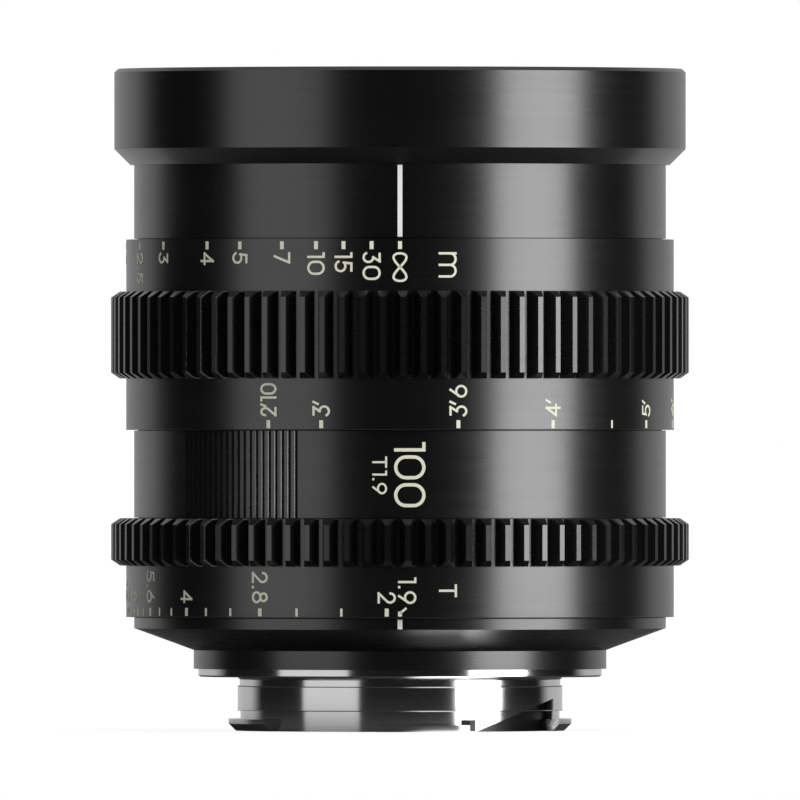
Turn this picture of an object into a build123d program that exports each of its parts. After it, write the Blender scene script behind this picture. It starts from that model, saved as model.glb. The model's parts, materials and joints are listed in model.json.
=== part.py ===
"""A cinema prime lens with toothed focus and aperture rings, a cam-driven optical block and an iris.

The optical axis is +Z and points to the scene. The lens stands on its rear mount at Z = 0,
and the side with the index lines faces -Y. Lengths are in millimetres, angles in degrees.
"""

from build123d import *
from math import asin, atan2, copysign, cos, degrees, hypot, pi, radians, sin, sqrt, tan
import os

# Heights of the outer sections, from the rear face up
lug_height = 1.5
neck_low_height = 1.1
neck_band_height = 3.0
neck_high_height = 1.2
flange_height = 1.0
adapter_height = 2.35
cone_height = 2.75
index_height = 1.35
aperture_height = 12.6
centre_height = 10.95
front_barrel_height = 9.3
front_ring_height = 12.1

# Radii of the outer sections
neck_radius = 20.1
neck_wall = 2.1
neck_band_step = 0.35
neck_high_step = 0.1
lug_reach = 1.5
flange_reach = 5.3
adapter_step = 0.6
barrel_radius = 33.5
scale_step = 1.0
front_step = 1.5
front_ring_wall = 2.5

# Clearances
joint_gap = 0.1
running_fit = 0.1
sliding_fit = 0.15
seat_fit = 0.05
overrun = 1.0

# Toothed rings
gear_module = 0.8
pressure_angle = 20
root_step = 0.1
root_depth_share = 1.25
tooth_end_bevel = 0.75
tooth_end_drop = 1.1
aperture_gear_width = 5.95
focus_gear_width = 10.95
focus_low_band = 6.55
focus_gear_phase = 0.6
aperture_gear_phase = 1.55

# Bayonet details
lug_bevel = 0.9
lug_sectors = ((-112, -52), (68, 118), (158, 208))
thin_lug_height = 0.85
thin_lug_sector = (-8, 24)
lug_stop_width = 0.7
lug_stop_angle = 25
ramp_low_angle = 28.5
ramp_wall_angle = 73.5
ramp_height = 4.1
ramp_depth = 0.9
flange_bevel = 0.2
neck_root_bevel = 0.35
mount_screw_count = 6
mount_screw_reach = 2.7
mount_screw_phase = -20
mount_screw_radius = 0.7
mount_head_radius = 1.3
mount_head_height = 0.7

# Focus drive
focus_turn = 212
focus_travel = 13.5
follower_count = 3
follower_radius = 2.05
follower_stem_radius = 1.1
slot_play = 0.1
sleeve_end_wall = 2.6
sleeve_recess = 0.575
sleeve_wall = 1.5
sleeve_gap = 0.2
follower_first_angle = 30
drive_pin_count = 3
drive_pin_radius = 0.8
drive_pin_reach = 1.4
washer_thickness = 0.5
washer_rim = 0.5

# Fixed barrels
barrel_wall = 3.15
guide_wall = 1.3
rear_wall = 1.85
rear_wall_step = 1.0
adapter_bore_step = 0.5
front_seat_height = 2.75
front_lip = 0.6
thread_depth = 4.6
ring_edge = 0.45
ring_chamfer_radial = 2.0
ring_chamfer_height = 2.0
baffle_steps = 4
baffle_step_depth = 0.4
grip_ridges = 20
grip_first_angle = -22.1
grip_pitch_angle = 1.58
grip_depth = 0.3
barrel_screw_radius = 0.7
barrel_screw_reach = 1.9
barrel_screw_count = 3

# Aperture drive
aperture_turn = 86
key_rise = 9.75
key_radius = 1.2
key_reach = 1.8
rail_gap = 0.3
rail_thickness = 1.4
rail_width = 4.4
rail_foot = 3.0
rail_head = 1.6

# Optical block
block_gap = 0.3
block_wall = 1.15
pad_angle = 18
pad_below = 4.4
pad_above = 5.0
stop_drop = 7.8
cover_step = 0.35
block_floor_drop = 11.8
block_floor_height = 7.4
block_tube_wall = 5.0

# Iris
blade_count = 9
blade_width = 6.8
stop_lip = 0.2
stop_closed_radius = 1.7
blade_outer_margin = 1.4
blade_span = 125
pivot_inset = 3.3
blade_thickness = 0.1
blade_pitch = 0.15
blade_room = 1.6
pivot_boss_radius = 1.2
pivot_pin_radius = 0.45
drive_arm = 5.2
drive_arm_angle = -103
drive_boss_radius = 0.7
blade_pin_radius = 0.3
blade_pin_play = 0.05
base_plate_thickness = 1.2
pivot_hole_depth = 0.9
cam_ring_thickness = 1.2
cam_ring_width = 6.2
cam_pin_radius = 0.5
cover_thickness = 1.6
cover_spigot_wall = 2.9
cover_spigot = 0.6
slot_points = 9
slot_step_share = 0.001

# Cells and glass
front_cell_height = 12.0
front_cell_wall = 1.6
front_air_gap = 1.2
front_cell_rise = 1.3
cell_lip = 1.35
cell_lip_reach = 1.5
second_cell_wall = 3.1
middle_cell_lip = 1.1
middle_cell_height = 5.5
middle_cell_wall = 5.6
front_glass_rim = 2.25
second_glass_rim = 2.0
third_glass_rim = 5.2
third_glass_flat = 5.0
doublet_cell_wall = 3.4
doublet_flat = 3.0
doublet_front_rim = 8.2
doublet_rear_rim = 0.85
doublet_lip = 1.5
doublet_lip_reach = 1.7
rear_cell_gap = 0.6
rear_cell_wall = 1.85
rear_cell_drop = 7.4
rear_cell_spigot = 5.0
rear_cell_flange_step = 2.0
rear_cell_flange_height = 1.6
rear_cell_lip = 1.0
rear_lip_reach = 1.2
sixth_glass_rim = 1.3
seventh_glass_rim = 5.3
rear_air_gap = 1.6
retainer_height = 1.6
retainer_width = 1.3
front_retainer_height = 3.0
trim_height = 3.8
trim_slope = 1.0

# Bends of each element's front and rear surface, as shares of its rim radius
front_bend_shares = (2.13, 11.0)
second_bend_shares = (1.65, 5.2)
third_bend_shares = (4.4, 1.37)
fourth_bend_shares = (-1.62, 3.8)
fifth_bend_shares = (3.8, -2.43)
sixth_bend_shares = (4.5, -3.9)
seventh_bend_shares = (-7.7, 3.9)

# Levels along the axis
neck_low_level = lug_height
neck_band_level = neck_low_level + neck_low_height
neck_high_level = neck_band_level + neck_band_height
flange_level = neck_high_level + neck_high_height
adapter_level = flange_level + flange_height
cone_level = adapter_level + adapter_height
index_level = cone_level + cone_height
aperture_level = index_level + index_height
centre_level = aperture_level + aperture_height
focus_level = centre_level + centre_height
slot_half = follower_radius + slot_play
sleeve_height = focus_travel + 2 * slot_half + 2 * sleeve_end_wall
focus_height = sleeve_height + 2 * sleeve_recess
front_barrel_level = focus_level + focus_height
front_ring_level = front_barrel_level + front_barrel_height
top_level = front_ring_level + front_ring_height
guide_low = cone_level + rear_wall
guide_high = front_ring_level + front_seat_height
sleeve_low = focus_level + sleeve_recess
sleeve_high = sleeve_low + sleeve_height
follower_level = sleeve_low + sleeve_end_wall + slot_half
drive_pin_level = sleeve_high - sleeve_end_wall / 2

# Radii of the mount
mount_bore_radius = neck_radius - neck_wall
neck_band_radius = neck_radius + neck_band_step
neck_high_radius = neck_radius + neck_high_step
lug_radius = neck_radius + lug_reach
flange_radius = neck_radius + flange_reach
adapter_radius = flange_radius + adapter_step
mount_screw_circle = neck_radius + mount_screw_reach
rear_wall_bore = mount_bore_radius + rear_wall_step
adapter_bore = mount_bore_radius + adapter_bore_step

# Radii of the barrels, from the outside in
scale_radius = barrel_radius + scale_step
front_radius = scale_radius + front_step
filter_thread_radius = front_radius - front_ring_wall
guide_outer = barrel_radius - barrel_wall - seat_fit
guide_inner = guide_outer - guide_wall
ring_bore = guide_outer + running_fit
sleeve_outer = ring_bore + sleeve_wall
focus_bore = sleeve_outer + sleeve_gap
land_radius = guide_inner - sliding_fit
rail_outer = guide_inner - rail_gap
rail_inner = rail_outer - rail_thickness
block_radius = rail_inner - block_gap
iris_bore = block_radius - block_wall
cell_bore = iris_bore + cover_step
cell_radius = cell_bore - seat_fit
cam_ring_radius = iris_bore - sliding_fit
pivot_radius = cam_ring_radius - pivot_inset
blade_outer_radius = pivot_radius - blade_outer_margin
blade_inner_radius = blade_outer_radius - blade_width
stop_open_radius = blade_inner_radius - stop_lip
cover_spigot_radius = cam_ring_radius - cam_ring_width - running_fit
cover_window_radius = cover_spigot_radius - cover_spigot_wall
block_bore = block_radius - block_tube_wall

# Radii of the glass and its cells
front_glass_radius = land_radius - front_cell_wall - seat_fit
second_glass_radius = cell_radius - second_cell_wall - seat_fit
cell_lip_radius = second_glass_radius - cell_lip_reach
third_glass_radius = cell_radius - middle_cell_wall - seat_fit
third_glass_hollow = third_glass_radius - third_glass_flat
doublet_radius = block_bore - doublet_cell_wall - 2 * seat_fit
doublet_hollow = doublet_radius - doublet_flat
doublet_lip_radius = doublet_radius - doublet_lip_reach
rear_cell_radius = mount_bore_radius - rear_cell_gap
rear_cell_flange_radius = rear_cell_radius + rear_cell_flange_step
rear_cell_bore = rear_cell_radius + sliding_fit + seat_fit
rear_glass_radius = rear_cell_radius - rear_cell_wall - seat_fit
rear_lip_radius = rear_glass_radius - rear_lip_reach

# Teeth: the root circle lies just above the scale bands
tooth_count = round(2 * ((scale_radius + root_step) / gear_module + root_depth_share))
tip_radius = gear_module * (tooth_count / 2 + 1)
root_radius = gear_module * (tooth_count / 2 - root_depth_share)

# The blades' turn carries their inner edges from the full stop to the smallest one
blade_turn = degrees(2 * asin((blade_inner_radius - stop_closed_radius) / (2 * pivot_radius)))

# Levels of the optical block, at infinity
stop_level = follower_level - stop_drop
cam_ring_level = stop_level + base_plate_thickness + blade_room
cam_pin_level = cam_ring_level + cam_ring_thickness / 2
cover_level = cam_ring_level + cam_ring_thickness + joint_gap
middle_cell_level = cover_level + cover_thickness
front_cell_level = middle_cell_level + middle_cell_height + seat_fit
key_level = aperture_level + key_rise
rail_low = key_level - rail_foot
rail_high = cam_pin_level + focus_travel + cam_pin_radius + rail_head
front_flange_level = rail_high + front_cell_rise
front_cell_top = front_flange_level + front_cell_height
second_glass_level = front_cell_level + cell_lip
third_glass_level = middle_cell_level + middle_cell_lip
block_floor_level = stop_level - block_floor_drop
rear_cell_seat = block_floor_level - block_floor_height
rear_cell_low = rear_cell_seat - rear_cell_drop
rear_cell_high = rear_cell_seat + rear_cell_spigot
seventh_glass_level = rear_cell_low + rear_cell_lip
sixth_glass_level = seventh_glass_level + seventh_glass_rim + rear_air_gap
fifth_glass_level = block_floor_level + doublet_lip
rail_start = follower_first_angle + 180 - aperture_turn / 2


def sag(bend, radius):
    """How far a spherical surface of this bend falls from its vertex at this radius."""
    return bend - copysign(sqrt(bend * bend - radius * radius), bend)


def bends(radius, shares):
    """The bends of an element's two surfaces, from its rim radius and its shares."""
    return tuple(radius * share for share in shares)


# The bends of the elements, and the front element's seat a small air gap above the second
front_bends = bends(front_glass_radius, front_bend_shares)
second_bends = bends(second_glass_radius, second_bend_shares)
third_bends = bends(third_glass_radius, third_bend_shares)
fourth_bends = bends(doublet_radius, fourth_bend_shares)
fifth_bends = bends(doublet_radius, fifth_bend_shares)
sixth_bends = bends(rear_glass_radius, sixth_bend_shares)
seventh_bends = bends(rear_glass_radius, seventh_bend_shares)
second_vertex = second_glass_level + second_glass_rim + sag(second_bends[0], second_glass_radius)
front_glass_level = second_vertex + front_air_gap - sag(front_bends[1], front_glass_radius)


def turned(*points):
    """A solid turned about the optical axis from an outline of (radius, height) points."""
    return revolve(Plane.XZ * make_face(Polyline(*points, close=True)), Axis.Z)


def tube(inner, outer, low, high):
    """A plain ring between two radii and two levels."""
    return turned((inner, low), (outer, low), (outer, high), (inner, high))


def sector(inner, outer, low, high, start, end):
    """A ring segment from one angle to another, counted from +X towards +Y."""
    ring = Plane.XZ * make_face(
        Polyline((inner, low), (outer, low), (outer, high), (inner, high), close=True)
    )
    return Rot(0, 0, start) * revolve(ring, Axis.Z, end - start)


def radial_pin(radius, inner, outer, level, angle):
    """A round pin that lies along a radius of the lens."""
    pin = Cylinder(radius, outer - inner, align=(Align.CENTER, Align.CENTER, Align.MIN))
    return Rot(0, 0, angle) * (Pos(inner, 0, level) * (Rot(0, 90, 0) * pin))


def radial_bar(width, inner, outer, low, high, angle):
    """A flat-sided bar that stands on a radius of the lens."""
    bar = Box(outer - inner, width, high - low, align=(Align.MIN, Align.CENTER, Align.MIN))
    return Rot(0, 0, angle) * (Pos(inner, 0, low) * bar)


def around(count, first=0):
    """Equal angles round the full circle."""
    return [first + 360 * i / count for i in range(count)]


def polar(radius, angle):
    """The point at this radius and angle in the plane across the axis."""
    return (radius * cos(radians(angle)), radius * sin(radians(angle)))


def from_front(angle):
    """An angle counted from the index side, in the frame's own count from +X."""
    return angle - 90


def tooth_outline(phase):
    """The cross-section of all the teeth, with flat tops and straight flanks."""
    pitch_half = gear_module * pi / 4
    slope = tan(radians(pressure_angle))
    tip_half = degrees((pitch_half - gear_module * slope) / tip_radius)
    root_half = degrees((pitch_half + root_depth_share * gear_module * slope) / root_radius)
    points = []
    for angle in around(tooth_count, from_front(phase)):
        points.append(polar(root_radius, angle - root_half))
        points.append(polar(tip_radius, angle - tip_half))
        points.append(polar(tip_radius, angle + tip_half))
        points.append(polar(root_radius, angle + root_half))
    return make_face(Polyline(*points, close=True))


def toothed_band(bore, low, width, phase):
    """A band of teeth, each with a flat bevel at both ends down towards the roots."""
    reach = tooth_end_drop + overrun
    rise = tooth_end_bevel * reach / tooth_end_drop
    inner = tip_radius - tooth_end_drop
    outer = tip_radius + overrun
    levels = ((inner, low), (outer, low + rise), (outer, low + width - rise), (inner, low + width))
    turn = from_front(phase) + 180 / tooth_count
    sections = [
        Pos(0, 0, level) * RegularPolygon(radius, tooth_count, major_radius=False, rotation=turn)
        for radius, level in levels
    ]
    teeth = Pos(0, 0, low) * extrude(tooth_outline(phase), width)
    return (teeth & loft(sections, ruled=True)) - tube(0, bore, low, low + width)


def washer_recess(level, side):
    """The pocket for a thrust washer in the end of a ring: side 1 opens up, -1 opens down."""
    depth = washer_thickness + joint_gap
    low = min(level, level - side * depth)
    outer = barrel_radius - washer_rim + running_fit * 2
    return tube(guide_outer - overrun, outer, low, low + depth)


def focus_ring():
    """The focus ring: two scale bands with a wide toothed band between them."""
    low = focus_level + joint_gap
    high = front_barrel_level - joint_gap
    ring = tube(focus_bore, scale_radius, low, high)
    ring += toothed_band(focus_bore, focus_level + focus_low_band, focus_gear_width, focus_gear_phase)
    ring -= washer_recess(focus_level + washer_thickness + joint_gap, 1)
    ring -= washer_recess(front_barrel_level - washer_thickness - joint_gap, -1)
    for angle in around(drive_pin_count):
        reach = sleeve_outer + drive_pin_reach
        ring -= radial_pin(drive_pin_radius + seat_fit, guide_inner, reach, drive_pin_level, angle)
    return ring


def helical_slot(angle):
    """The cutters for one cam slot: it climbs by the focus travel over the focus turn."""
    middle = (ring_bore + sleeve_outer) / 2
    pitch = focus_travel * 360 / focus_turn
    path = Helix(pitch, focus_travel, middle, lefthand=True)
    section = Plane(origin=path @ 0, x_dir=(1, 0, 0), z_dir=path % 0) * Rectangle(
        sleeve_wall + overrun, 2 * slot_half
    )
    run = Rot(0, 0, angle) * (Pos(0, 0, follower_level) * sweep(section, path=path, is_frenet=True))
    reach = (slot_half, ring_bore - overrun, sleeve_outer + overrun)
    start = radial_pin(*reach, follower_level, angle)
    end = radial_pin(*reach, follower_level + focus_travel, angle - focus_turn)
    return (run, start, end)


def cam_sleeve():
    """The sleeve that the focus ring turns, with a helical slot for each follower."""
    sleeve = tube(ring_bore, sleeve_outer, sleeve_low, sleeve_high)
    for angle in around(follower_count, follower_first_angle):
        for cutter in helical_slot(angle):
            sleeve -= cutter
    for angle in around(drive_pin_count):
        hole = drive_pin_radius + seat_fit
        sleeve -= radial_pin(hole, guide_inner, sleeve_outer + overrun, drive_pin_level, angle)
    return sleeve


def focus_drive_pins():
    """The pins that key the cam sleeve to the focus ring."""
    inner = ring_bore + seat_fit
    outer = sleeve_outer + drive_pin_reach - seat_fit
    return [
        radial_pin(drive_pin_radius, inner, outer, drive_pin_level, angle)
        for angle in around(drive_pin_count)
    ]


def washers(low, high):
    """The two thrust washers of a ring, one against each fixed barrel."""
    inner = ring_bore
    outer = barrel_radius - washer_rim
    return [
        tube(inner, outer, low, low + washer_thickness),
        tube(inner, outer, high - washer_thickness, high),
    ]


def aperture_ring():
    """The aperture ring: a scale band below a narrow toothed band."""
    low = aperture_level + joint_gap
    high = centre_level - joint_gap
    ring = tube(ring_bore, scale_radius, low, high)
    band_low = high - aperture_gear_width
    ring += toothed_band(ring_bore, band_low, aperture_gear_width, aperture_gear_phase)
    ring -= washer_recess(aperture_level + washer_thickness + joint_gap, 1)
    ring -= washer_recess(centre_level - washer_thickness - joint_gap, -1)
    reach = ring_bore + key_reach + seat_fit
    ring -= radial_pin(key_radius + seat_fit, guide_inner, reach, key_level, rail_start)
    return ring


def aperture_key():
    """The pin that passes through the guide barrel and turns the rail with the aperture ring."""
    inner = rail_inner + seat_fit
    return radial_pin(key_radius, inner, ring_bore + key_reach, key_level, rail_start)


def aperture_drive_rail():
    """The slotted rail that turns the iris cam ring at every focus position."""
    rail = radial_bar(rail_width, rail_inner, rail_outer, rail_low, rail_high, rail_start)
    slot_low = cam_pin_level - cam_pin_radius - seat_fit
    slot_high = cam_pin_level + focus_travel + cam_pin_radius + seat_fit
    slot_width = 2 * (cam_pin_radius + seat_fit)
    inner = rail_inner - overrun
    outer = rail_outer + overrun
    rail -= radial_bar(slot_width, inner, outer, slot_low, slot_high, rail_start)
    rail -= radial_pin(key_radius + seat_fit, inner, outer, key_level, rail_start)
    return rail


def screw_levels():
    """Where the screws join each outer barrel to the guide barrel."""
    rear = (guide_low + aperture_level) / 2
    centre = (centre_level + focus_level) / 2
    front = (front_barrel_level + front_ring_level) / 2
    return (rear, centre, front)


def screw_holes(level):
    """The holes for one row of barrel screws."""
    reach = guide_outer + barrel_screw_reach + seat_fit
    return [
        radial_pin(barrel_screw_radius + seat_fit, guide_inner - overrun, reach, level, angle)
        for angle in around(barrel_screw_count, 90)
    ]


def barrel_screws():
    """The screws that hold the outer barrels to the guide barrel."""
    outer = guide_outer + barrel_screw_reach
    return [
        radial_pin(barrel_screw_radius, guide_inner + seat_fit, outer, level, angle)
        for level in screw_levels()
        for angle in around(barrel_screw_count, 90)
    ]


def guide_barrel():
    """The fixed tube: straight slots for the followers and a window for the aperture key."""
    barrel = tube(guide_inner, guide_outer, guide_low, guide_high)
    inner = guide_inner - overrun
    outer = guide_outer + overrun
    for angle in around(follower_count, follower_first_angle):
        low = follower_level
        high = follower_level + focus_travel
        barrel -= radial_bar(2 * slot_half, inner, outer, low, high, angle)
        barrel -= radial_pin(slot_half, inner, outer, low, angle)
        barrel -= radial_pin(slot_half, inner, outer, high, angle)
    half = key_radius + sliding_fit
    spread = degrees(asin(half / guide_inner))
    start = rail_start - spread
    end = rail_start + aperture_turn + spread
    barrel -= sector(inner, outer, key_level - half, key_level + half, start, end)
    for level in screw_levels():
        barrel -= screw_holes(level)
    return barrel


def centre_barrel():
    """The fixed middle barrel, with a patch of fine upright grip grooves."""
    barrel = tube(guide_outer + seat_fit, barrel_radius, centre_level, focus_level)
    half = barrel_radius * radians(grip_pitch_angle) / 2
    tip = barrel_radius - grip_depth
    mouth = barrel_radius + grip_depth
    groove = Polyline((tip, 0), (mouth, -half), (mouth, half), close=True)
    cutter = Pos(0, 0, centre_level) * extrude(make_face(groove), centre_height)
    for i in range(grip_ridges):
        angle = grip_first_angle - (i + 1 / 2) * grip_pitch_angle
        barrel -= Rot(0, 0, from_front(angle)) * cutter
    return barrel - screw_holes(screw_levels()[1])


def front_barrel():
    """The fixed barrel in front of the focus ring, which carries the index line."""
    barrel = tube(guide_outer + seat_fit, barrel_radius, front_barrel_level, front_ring_level)
    return barrel - screw_holes(screw_levels()[2])


def front_ring():
    """The front ring: filter thread bore, stepped light baffle and a chamfered outside."""
    thread_low = top_level - thread_depth
    lip_level = guide_high + seat_fit
    seat = guide_outer + seat_fit
    points = [
        (seat, front_ring_level),
        (front_radius - ring_chamfer_radial, front_ring_level),
        (front_radius, front_ring_level + ring_chamfer_height),
        (front_radius, top_level - ring_edge),
        (front_radius - ring_edge, top_level),
        (filter_thread_radius, top_level),
        (filter_thread_radius, thread_low),
    ]
    step_height = (thread_low - lip_level) / (baffle_steps + 1)
    radius = guide_inner + front_lip + baffle_steps * baffle_step_depth
    for i in range(baffle_steps):
        level = thread_low - i * step_height
        points.append((radius, level))
        points.append((radius, level - step_height))
        radius -= baffle_step_depth
    points.append((radius, thread_low - baffle_steps * step_height))
    points.append((radius, lip_level))
    points.append((seat, lip_level))
    return turned(*points)


def rear_barrel():
    """The rear barrel: the index band and the cone, on a wall that carries the guide barrel."""
    seat = guide_outer + seat_fit
    barrel = turned(
        (rear_wall_bore, cone_level),
        (adapter_radius, cone_level),
        (barrel_radius, index_level),
        (barrel_radius, aperture_level),
        (seat, aperture_level),
        (seat, guide_low),
        (rear_wall_bore, guide_low),
    )
    barrel -= screw_holes(screw_levels()[0])
    return barrel - mount_screw_holes()


def mount_adapter_ring():
    """The black ring between the bayonet flange and the rear barrel."""
    return tube(adapter_bore, adapter_radius, adapter_level, cone_level) - mount_screw_holes()


def mount_screw_holes():
    """The holes for the mount screws, through the flange and into the rear barrel."""
    holes = []
    for angle in around(mount_screw_count, from_front(mount_screw_phase)):
        place = Pos(*polar(mount_screw_circle, angle), flange_level - overrun)
        depth = guide_low - flange_level + overrun * 2
        hole = Cylinder(
            mount_screw_radius + seat_fit, depth, align=(Align.CENTER, Align.CENTER, Align.MIN)
        )
        holes.append(place * hole)
    return holes


def mount_screws():
    """The countersunk screws that hold the bayonet to the rear barrel."""
    screw = turned(
        (0, flange_level),
        (mount_head_radius, flange_level),
        (mount_screw_radius, flange_level + mount_head_height),
        (mount_screw_radius, guide_low - seat_fit),
        (0, guide_low - seat_fit),
    )
    return [
        Pos(*polar(mount_screw_circle, angle), 0) * screw
        for angle in around(mount_screw_count, from_front(mount_screw_phase))
    ]


def bayonet_lugs():
    """The lugs of the bayonet, bevelled on their lower edge, and the thin front lug."""
    lugs = []
    for start, end in lug_sectors:
        ring = Plane.XZ * make_face(
            Polyline(
                (mount_bore_radius, 0),
                (lug_radius - lug_bevel, 0),
                (lug_radius, lug_bevel),
                (lug_radius, lug_height),
                (mount_bore_radius, lug_height),
                close=True,
            )
        )
        lugs.append(Rot(0, 0, from_front(start)) * revolve(ring, Axis.Z, end - start))
    start, end = thin_lug_sector
    thin = (mount_bore_radius, lug_radius, 0, thin_lug_height)
    lugs.append(sector(*thin, from_front(start), from_front(end)))
    stop = (lug_stop_width, mount_bore_radius, lug_radius, 0, lug_height)
    lugs.append(radial_bar(*stop, from_front(lug_stop_angle)))
    return lugs


def ramp_pocket():
    """The ramped pocket in the neck: it rises from the rear face to an upright wall."""
    floor = neck_radius - ramp_depth
    outer = lug_radius + overrun
    low_x = neck_radius * sin(radians(ramp_low_angle))
    wall_x = neck_radius * sin(radians(ramp_wall_angle))
    side = Plane.XZ * make_face(
        Polyline((low_x, 0), (wall_x, 0), (wall_x, ramp_height), close=True)
    )
    wedge = extrude(side, outer)
    start = from_front(ramp_low_angle)
    end = from_front(ramp_wall_angle)
    return wedge & sector(floor, outer, 0, ramp_height, start, end)


def bayonet_mount():
    """The polished bayonet: flange, stepped neck, lugs and the ramped pocket."""
    mount = turned(
        (mount_bore_radius, 0),
        (neck_radius, 0),
        (neck_radius, neck_band_level),
        (neck_band_radius, neck_band_level),
        (neck_band_radius, neck_high_level),
        (neck_high_radius, neck_high_level),
        (neck_high_radius, flange_level - neck_root_bevel),
        (neck_high_radius + neck_root_bevel, flange_level),
        (flange_radius - flange_bevel, flange_level),
        (flange_radius, flange_level + flange_bevel),
        (flange_radius, adapter_level),
        (mount_bore_radius, adapter_level),
    )
    mount -= ramp_pocket()
    mount += bayonet_lugs()
    mount -= mount_screw_holes()
    sink = turned(
        (0, flange_level),
        (mount_head_radius + seat_fit, flange_level),
        (mount_screw_radius + seat_fit, flange_level + mount_head_height),
        (0, flange_level + mount_head_height),
    )
    for angle in around(mount_screw_count, from_front(mount_screw_phase)):
        mount -= Pos(*polar(mount_screw_circle, angle), 0) * sink
    return mount


def focusing_barrel():
    """The sliding tube that carries the glass: guide pads, follower holes and a pin window."""
    barrel = turned(
        (rear_cell_bore, rear_cell_seat),
        (block_radius, rear_cell_seat),
        (block_radius, front_flange_level - seat_fit),
        (cell_bore, front_flange_level - seat_fit),
        (cell_bore, cover_level),
        (iris_bore, cover_level),
        (iris_bore, stop_level),
        (block_bore, stop_level),
        (block_bore, block_floor_level),
        (rear_cell_bore, block_floor_level),
    )
    low = follower_level - pad_below
    high = follower_level + pad_above
    for angle in around(follower_count, follower_first_angle):
        pad = (block_radius - seat_fit, land_radius, low, high)
        barrel += sector(*pad, angle - pad_angle / 2, angle + pad_angle / 2)
        hole = follower_stem_radius + seat_fit
        barrel -= radial_pin(hole, cell_bore - overrun, guide_inner, follower_level, angle)
    half = cam_pin_radius + sliding_fit
    spread = degrees(asin(half / iris_bore))
    start = rail_start - spread
    end = rail_start + aperture_turn + spread
    radii = (iris_bore - overrun, block_radius + overrun)
    return barrel - sector(*radii, cam_pin_level - half, cam_pin_level + half, start, end)


def cam_followers():
    """The three rollers that run in the guide slots and the cam slots together."""
    followers = []
    for angle in around(follower_count, follower_first_angle):
        shoulder = land_radius + seat_fit
        stem = (follower_stem_radius, cell_bore + seat_fit, shoulder, follower_level, angle)
        head = (follower_radius, shoulder, sleeve_outer - sleeve_gap, follower_level, angle)
        followers.append(radial_pin(*stem) + radial_pin(*head))
    return followers


def drive_pin_at(turn_share):
    """Where the first blade's drive pin is when this share of the blade's turn is done."""
    angle = drive_arm_angle + turn_share * blade_turn
    x, y = polar(drive_arm, angle)
    return (pivot_radius + x, y)


def cam_path_point(turn_share, side=0):
    """A point of a cam slot in the ring's own frame, moved sideways by side."""
    step = slot_step_share
    x, y = drive_pin_at(turn_share)
    turn = aperture_turn * turn_share
    radius = hypot(x, y)
    angle = degrees(atan2(y, x)) - turn
    x2, y2 = drive_pin_at(turn_share + step)
    ahead_radius = hypot(x2, y2)
    ahead_angle = degrees(atan2(y2, x2)) - turn - aperture_turn * step
    here = Vector(*polar(radius, angle))
    ahead = Vector(*polar(ahead_radius, ahead_angle))
    along = (ahead - here).normalized()
    return here + Vector(-along.Y, along.X) * side


def cam_slot():
    """The outline of one cam slot, the path of a blade's drive pin as the ring turns."""
    half = blade_pin_radius + blade_pin_play
    shares = [i / (slot_points - 1) for i in range(slot_points)]
    left = [cam_path_point(share, half) for share in shares]
    right = [cam_path_point(share, -half) for share in reversed(shares)]
    start = cam_path_point(0)
    end = cam_path_point(1)
    start_way = (start - cam_path_point(1 / slot_points)).normalized()
    end_way = (end - cam_path_point(1 - 1 / slot_points)).normalized()
    edges = [
        Spline(*left),
        ThreePointArc(left[-1], end + end_way * half, right[0]),
        Spline(*right),
        ThreePointArc(right[-1], start + start_way * half, left[0]),
    ]
    return make_face(edges)


def iris_cam_ring():
    """The ring that swings the blades, one spiral slot for each, with its drive pin."""
    low = cam_ring_level
    ring = tube(cam_ring_radius - cam_ring_width, cam_ring_radius, low, low + cam_ring_thickness)
    cutter = Pos(0, 0, low) * extrude(cam_slot(), cam_ring_thickness)
    for angle in around(blade_count):
        ring -= Rot(0, 0, angle) * cutter
    ends = (cam_ring_radius - blade_pin_radius, rail_outer - running_fit)
    return ring + radial_pin(cam_pin_radius, *ends, cam_pin_level, rail_start)


def blade_outline():
    """A crescent between two arcs, with a boss at the pivot and an arm to the drive pin."""
    ring = Circle(blade_outer_radius) - Circle(blade_inner_radius)
    far = blade_outer_radius * 2
    heel = degrees(pivot_boss_radius / pivot_radius)
    first = blade_span / 2
    corners = [(0, 0), polar(far, -heel), polar(far, first), polar(far, blade_span)]
    wedge = make_face(Polyline(*corners, close=True))
    crescent = ring & wedge
    boss = Pos(pivot_radius, 0) * Circle(pivot_boss_radius)
    neck_length = pivot_radius - blade_outer_radius + pivot_boss_radius
    neck = Pos(pivot_radius - neck_length / 2, 0) * Rectangle(neck_length, 2 * pivot_boss_radius)
    arm_end = drive_pin_at(0)
    arm_middle = ((pivot_radius + arm_end[0]) / 2, arm_end[1] / 2)
    arm = Pos(*arm_middle) * (Rot(0, 0, drive_arm_angle) * Rectangle(drive_arm, 2 * drive_boss_radius))
    tip = Pos(*arm_end) * Circle(drive_boss_radius)
    return crescent + boss + neck + arm + tip


def iris_blade(index):
    """One blade in its own layer, with its pivot pin below and its drive pin above."""
    middle = stop_level + base_plate_thickness + (index + 1) * blade_pitch
    low = middle - blade_thickness / 2
    blade = Pos(0, 0, low) * extrude(blade_outline(), blade_thickness)
    centred = (Align.CENTER, Align.CENTER, Align.MIN)
    pin_low = stop_level + base_plate_thickness - pivot_hole_depth + seat_fit
    pivot = Cylinder(pivot_pin_radius, low - pin_low, align=centred)
    pin_high = cam_ring_level + cam_ring_thickness - seat_fit
    top = low + blade_thickness
    drive = Cylinder(blade_pin_radius, pin_high - top, align=centred)
    blade += Pos(pivot_radius, 0, pin_low) * pivot
    blade += Pos(*drive_pin_at(0), top) * drive
    return Rot(0, 0, 360 * index / blade_count) * blade


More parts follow.
